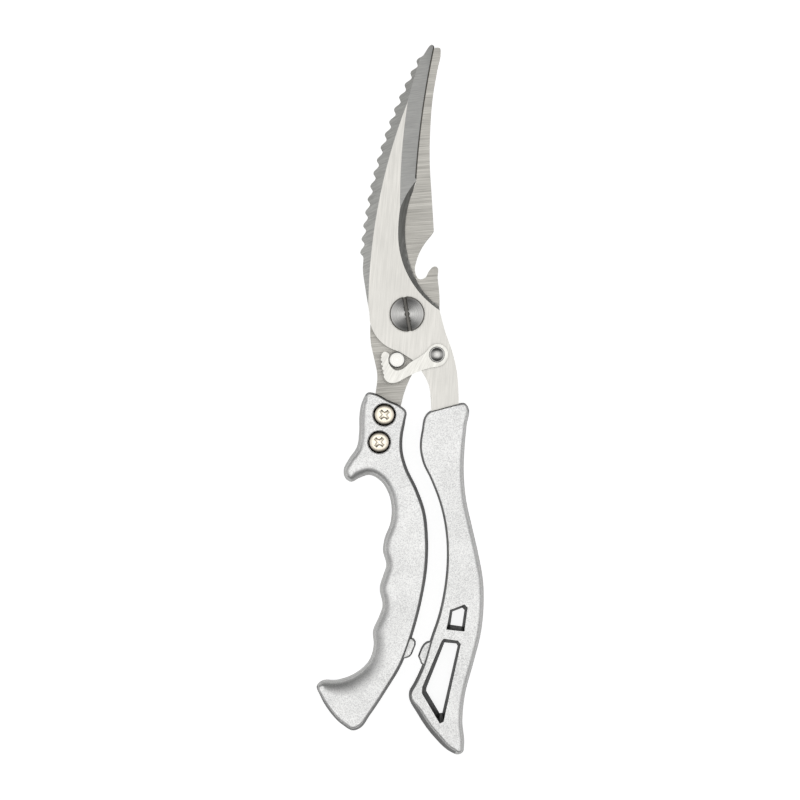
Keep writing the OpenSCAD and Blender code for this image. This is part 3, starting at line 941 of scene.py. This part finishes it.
stud_at = middle_of("catch_stud")
stud_low, stud_high = (corner.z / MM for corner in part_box("catch_stud"))
rear_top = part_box("rear_blade")[1].z / MM
latch_low, latch_high = (corner.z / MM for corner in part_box("latch"))
stud_steel = turned_metal(
    "turned stud steel", stud_at, (0.66, 0.65, 0.62), (0.76, 0.75, 0.72), (0.32, 0.24),
)
stud_shoulder = (front_top / MM + latch_low) / 2
stud = turn("catch_stud_turned", stud_at, [
    (1.5, stud_low), (1.5, rear_top), (2.4, rear_top + 0.01), (2.4, stud_shoulder - 0.1),
    (2.3, stud_shoulder), (1.3, stud_shoulder + 0.005), (1.3, latch_high + 0.05),
    (2.8, latch_high + 0.06), (2.95, latch_high + 0.2), (2.94, stud_high - 0.45),
    (2.9, stud_high - 0.27), (2.81, stud_high - 0.13), (2.67, stud_high - 0.04),
    (2.5, stud_high), (0.3, stud_high),
], sides=72)
stud.data.materials.append(stud_steel)
settle(stud, "rear_half", "turned_steel", "catch_stud", angle=50)

# %% [markdown]
# ## Handle screws
# Four pan-head screws hold the tangs. The head is turned in a soft dome, and its cross
# recess is cut by two tapered blocks, whose walls are painted dark as shade. The thin nickel
# plating is bright and slightly warm.
# One screw is modelled, then copied to each place and turned to its own angle.


# %% One screw
screw_low, screw_high = (corner.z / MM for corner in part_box("left_handle_screw_upper"))
screw_length, head_height = screw_high - screw_low, 2.3
under = screw_length - head_height
screw = turn("handle screw", Vector((0, 0, 0)), [
    (1.6, 0.0), *thread(2.0, 0.35, under - 0.3, 0.6), (2.0, under), (3.95, under + 0.01),
    (4.08, under + 0.1), (4.1, under + 1.4), (4.03, under + 1.62), (3.8, under + 1.83),
    (3.4, under + 2.02), (2.9, under + 2.16), (2.2, under + 2.25), (1.4, under + 2.285),
    (0.3, under + 2.295),
], sides=64)
cross_length, cross_width, cross_depth, cross_floor = 4.4, 1.5, 1.2, 0.7
for quarter in (0, 90):
    arm = block(
        "arm", (0, 0, screw_length * MM), (cross_length, cross_width, cross_depth),
        math.radians(quarter), (0.9, cross_floor, 1),
    )
    cut_with(screw, arm, "DIFFERENCE")
cross_from = (screw_length - cross_depth / 2 - 0.02) * MM
cross_radius = (cross_length / 2 + 0.1) * MM
# The cross recess walls are painted dark, a painted shade.
give_finishes(screw, spring_steel, [
    (shaded_cut_edge, lambda c, n: c.xy.length < cross_radius and c.z > cross_from and n.z < 0.7),
])
break_edges(screw, 0.05, segments=1, angle=50)
print("screw length", round(screw_length, 2), "mm")


# %% Four copies
def place_screw(node, body, angle, faces_up):
    low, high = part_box(node)
    centre = middle_of(node)
    piece = bpy.data.objects.new(node + "_turned", screw.data.copy())
    bpy.context.scene.collection.objects.link(piece)
    piece.location = (centre.x, centre.y, low.z if faces_up else high.z)
    piece.rotation_euler = (0 if faces_up else math.pi, 0, math.radians(angle))
    pick(piece)
    bpy.ops.object.transform_apply(location=True, rotation=True, scale=True)
    piece.data.materials[0] = turned_metal(
        node + " nickel", centre, (0.74, 0.67, 0.55), (0.90, 0.83, 0.71), (0.24, 0.16), 2500.0,
    )
    settle(piece, body, "nickel_plated", node, angle=40)


place_screw("left_handle_screw_upper", "rear_half", 42, True)
place_screw("left_handle_screw_lower", "rear_half", 48, True)
place_screw("right_handle_screw_upper", "front_half", -20, False)
place_screw("right_handle_screw_lower", "front_half", -65, False)
bpy.data.objects.remove(screw)

# %% [markdown]
# ## The nut
# A hexagon nut's corners are turned off by a cone at each face, which leaves the curved
# chamfer marks on its flats. The hexagon is cut by a turned piece of that shape.

# %% Pivot nut
nut_low, nut_high = (corner.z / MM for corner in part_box("pivot_nut"))
nut = copy_of("pivot_nut", "pivot_nut_hexagon")
nut_cone = turn("nut cone", pivot, [
    (5.2, nut_low - 0.02), (5.55, nut_low + 0.12), (6.3, nut_low + 0.5), (6.3, nut_high - 0.5),
    (5.55, nut_high - 0.12), (5.2, nut_high + 0.02),
])
cut_with(nut, nut_cone, "INTERSECT")
nut.data.materials.clear()
nut.data.materials.append(turned_metal(
    "nut steel", pivot, (0.55, 0.545, 0.53), (0.8, 0.79, 0.77), (0.4, 0.3),
))
break_edges(nut, 0.05, segments=1, angle=25)
settle(nut, "front_half", "turned_steel", "pivot_nut", angle=20)

# %% [markdown]
# ## Pieces whose frame shape is right
# The coil spring and the two washers keep their frame meshes, and only get their finish.

# %% Spring and washers
for node in ("opening_spring", "pivot_washer", "latch_washer"):
    mesh = frame["nodes"][node].data
    mesh.materials.clear()
    mesh.materials.append(spring_steel)
    print(node, "finished in", spring_steel.name)

# %% [markdown]
# ## Floor, light and camera
# The shears lie on a plain pale table under a wide soft light. The sky is brightest
# overhead and darkens towards the horizon, faster to the front and back than to the
# sides. Level faces mirror the bright part, and leaning ones the darker, which is what
# draws the bevels and roundings. Seen by the camera itself, the room is plain and pale.

# %% Floor
bpy.ops.object.select_all(action="DESELECT")
bpy.ops.mesh.primitive_plane_add(size=8, location=(0, 0, -0.0002))
floor = bpy.context.object
floor.name = "floor"
paper = bpy.data.materials.new("pale paper")
paper.use_nodes = True
paper_shader = paper.node_tree.nodes["Principled BSDF"]
paper_shader.inputs["Base Color"].default_value = (0.5, 0.5, 0.5, 1)
paper_shader.inputs["Roughness"].default_value = 0.9
paper_shader.inputs["Emission Color"].default_value = (1, 1, 1, 1)
paper_shader.inputs["Emission Strength"].default_value = 0.86
floor.data.materials.append(paper)
print("floor:", floor.name, "in", paper.name)


# %% Sky
def make_sky():
    world = bpy.data.worlds.new("soft room")
    bpy.context.scene.world = world
    world.use_nodes = True
    tree = world.node_tree
    tree.nodes.clear()
    way = tree.nodes.new("ShaderNodeTexCoord").outputs["Generated"]
    from_overhead = vector_node(
        tree, "LENGTH", vector_node(tree, "MULTIPLY", way, (0.74, 1.5, 0)),
    )
    shade = tree.nodes.new("ShaderNodeValToRGB")
    shade.color_ramp.interpolation = "EASE"
    stops = ((0.34, 1.0), (0.58, 0.62), (0.80, 0.24), (1.0, 0.05))
    for _ in stops[2:]:
        shade.color_ramp.elements.new(0.5)
    for element, (position, level) in zip(shade.color_ramp.elements, stops):
        element.position = position
        element.color = (level, level, level, 1)
    tree.links.new(from_overhead, shade.inputs["Fac"])
    lit = tree.nodes.new("ShaderNodeBackground")
    lit.inputs["Strength"].default_value = 0.95
    tree.links.new(shade.outputs["Color"], lit.inputs["Color"])
    seen = tree.nodes.new("ShaderNodeBackground")
    seen.inputs["Color"].default_value = (0.86, 0.86, 0.86, 1)
    choose = tree.nodes.new("ShaderNodeMixShader")
    path = tree.nodes.new("ShaderNodeLightPath")
    tree.links.new(path.outputs["Is Camera Ray"], choose.inputs["Fac"])
    tree.links.new(lit.outputs["Background"], choose.inputs[1])
    tree.links.new(seen.outputs["Background"], choose.inputs[2])
    out = tree.nodes.new("ShaderNodeOutputWorld")
    tree.links.new(choose.outputs["Shader"], out.inputs["Surface"])
    return world


print("sky:", make_sky().name)

# %% Overhead softbox
bpy.ops.object.light_add(type="AREA", location=(0, 0, 2))
softbox = bpy.context.object
softbox.name = "overhead softbox"
softbox.data.size = 1.2
softbox.data.energy = 3.0
print("lamp:", softbox.name)

# %% [markdown]
# The camera looks straight down through a long lens, so the shears show almost no
# perspective. Its height follows from the width that the picture takes in at the level of
# the handles' front faces.

# %% Camera
lens, sensor, picture_width, plane_z = 220.0, 36.0, 0.2923, 0.011
aim_x, aim_y = -0.15 * MM, -0.1 * MM
bpy.ops.object.camera_add(location=(aim_x, aim_y, plane_z + picture_width * lens / sensor))
camera = bpy.context.object
camera.data.lens = lens
camera.data.sensor_width = sensor
camera.data.clip_end = 20
bpy.context.scene.camera = camera
bpy.context.scene.view_settings.view_transform = "Standard"
print("camera height", round(camera.location.z, 3), "m")
